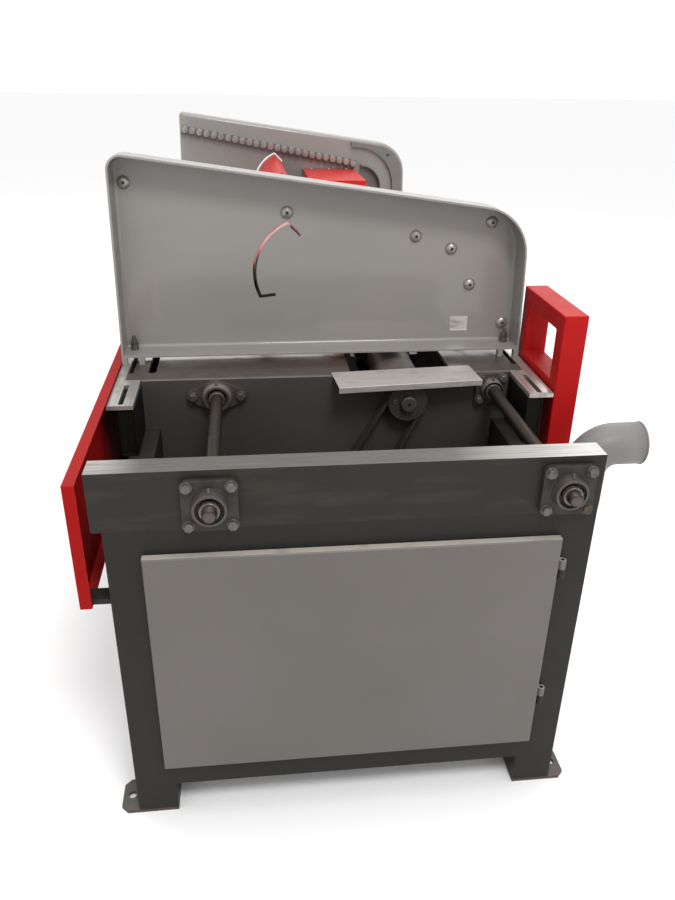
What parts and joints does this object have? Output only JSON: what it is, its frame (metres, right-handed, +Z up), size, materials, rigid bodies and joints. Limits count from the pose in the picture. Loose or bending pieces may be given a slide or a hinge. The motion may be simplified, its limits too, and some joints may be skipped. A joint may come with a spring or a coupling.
{
  "type": "board notching machine",
  "caption": "Floor-standing board notching machine: dark welded base, bearing bars, feed shafts, belt-driven cutter heads, grey guide panels with roller rows, red guards and dust spouts.",
  "frame": {"origin": "floor level at the centre of the four floor anchor holes", "axes": "+Z up, +Y along the machine away from the end in the picture, +X to the right of the picture, toward the dust spouts"},
  "size_m": [1.267, 3.21, 1.3721],
  "materials": {
    "dark_paint": "satin dark grey paint",
    "panel_paint": "satin grey paint",
    "door_paint": "satin warm grey paint",
    "red_paint": "gloss red paint",
    "light_paint": "satin light grey paint",
    "bare_steel": "brushed",
    "deck_steel": "worn flat steel",
    "bearing_iron": "cast",
    "chain_steel": "oiled",
    "cutter_steel": "blackened",
    "carbide": "ground",
    "belt_rubber": "matt",
    "motor_casting": "painted casting",
    "zinc": "zinc plated",
    "pulley_iron": "machined"
  },
  "bodies": {
    "base": {"legs": "dark_paint", "foot_plates": "dark_paint", "frame_rails": "dark_paint", "bearing_bars": "dark_paint", "side_beams": "dark_paint", "slide_rails": "bare_steel", "decks": "deck_steel", "inner_plates": "dark_paint", "cabinet_sheets": "dark_paint", "outer_bearing_housings": "bearing_iron", "inner_bearing_housings": "bearing_iron", "bearing_bolts": "zinc", "spindle_housings": "dark_paint", "motors": "motor_casting", "drive_belts": "belt_rubber", "pulley_covers": "light_paint", "feed_chains": "chain_steel", "chain_guides": "chain_steel", "feed_gearmotor": "motor_casting", "guard_frame": "red_paint", "left_apron": "red_paint", "guard_brackets": "dark_paint", "dust_spouts": "light_paint", "hinge_pins": "dark_paint", "rear_guide_panel": "panel_paint", "rear_roller_rail": "panel_paint", "rear_rollers": "zinc", "rear_corner_guide": "panel_paint", "rear_floor_guide": "panel_paint", "rear_panel_bolts": "zinc", "rear_curved_guard": "red_paint", "rear_cutter_hood": "red_paint"},
    "front_door": {"front_door": "door_paint"},
    "rear_door": {"rear_door": "door_paint"},
    "drive_shaft": {"drive_shaft": "bare_steel", "drive_sprockets": "chain_steel", "drive_bearing_inserts": "bare_steel"},
    "idle_shaft": {"idle_shaft": "bare_steel", "idle_sprockets": "chain_steel", "idle_bearing_inserts": "bare_steel"},
    "front_spindle": {"front_spindle": "bare_steel", "front_spindle_pulley": "pulley_iron", "front_cutter_head": "cutter_steel", "front_knives": "carbide"},
    "rear_spindle": {"rear_spindle": "bare_steel", "rear_spindle_pulley": "pulley_iron", "rear_cutter_head": "cutter_steel", "rear_knives": "carbide"},
    "front_motor_rotor": {"front_motor_shaft": "bare_steel", "front_motor_pulley": "pulley_iron"},
    "rear_motor_rotor": {"rear_motor_shaft": "bare_steel", "rear_motor_pulley": "pulley_iron"},
    "front_panel": {"front_guide_panel": "panel_paint", "front_roller_rail": "panel_paint", "front_rollers": "zinc", "front_corner_guide": "panel_paint", "front_floor_guide": "panel_paint", "front_panel_bolts": "zinc", "front_curved_guard": "red_paint", "front_cutter_hood": "red_paint"}
  },
  "joints": [
    {"name": "front_door_hinge", "type": "hinge", "parent": "base", "child": "front_door", "pos_m": [0.43, -1.559, 0.432], "axis": [0, 0, 1], "range_deg": [0, 110]},
    {"name": "rear_door_hinge", "type": "hinge", "parent": "base", "child": "rear_door", "pos_m": [0.43, 1.559, 0.432], "axis": [0, 0, -1], "range_deg": [0, 110]},
    {"name": "drive_shaft_spin", "type": "hinge", "parent": "base", "child": "drive_shaft", "pos_m": [-0.283, 0, 0.82], "axis": [0, 1, 0], "continuous": true},
    {"name": "idle_shaft_spin", "type": "hinge", "parent": "base", "child": "idle_shaft", "pos_m": [0.417, 0, 0.82], "axis": [0, 1, 0], "continuous": true},
    {"name": "front_spindle_spin", "type": "hinge", "parent": "base", "child": "front_spindle", "pos_m": [0.195, -0.95, 0.8], "axis": [0, 1, 0], "continuous": true},
    {"name": "rear_spindle_spin", "type": "hinge", "parent": "base", "child": "rear_spindle", "pos_m": [0.195, 0.95, 0.8], "axis": [0, 1, 0], "continuous": true},
    {"name": "front_motor_spin", "type": "hinge", "parent": "base", "child": "front_motor_rotor", "pos_m": [-0.05543, -1.05, 0.323], "axis": [0, 1, 0], "continuous": true},
    {"name": "rear_motor_spin", "type": "hinge", "parent": "base", "child": "rear_motor_rotor", "pos_m": [-0.05543, 1.05, 0.323], "axis": [0, 1, 0], "continuous": true},
    {"name": "front_panel_slide", "type": "slide", "parent": "base", "child": "front_panel", "axis": [0, 1, 0], "range_m": [-0.065, 0.04]}
  ],
  "couplings": [
    {"joint": "idle_shaft_spin", "follows": "drive_shaft_spin", "ratio": 1},
    {"joint": "front_motor_spin", "follows": "front_spindle_spin", "ratio": 0.71429},
    {"joint": "rear_motor_spin", "follows": "rear_spindle_spin", "ratio": 0.71429}
  ]
}
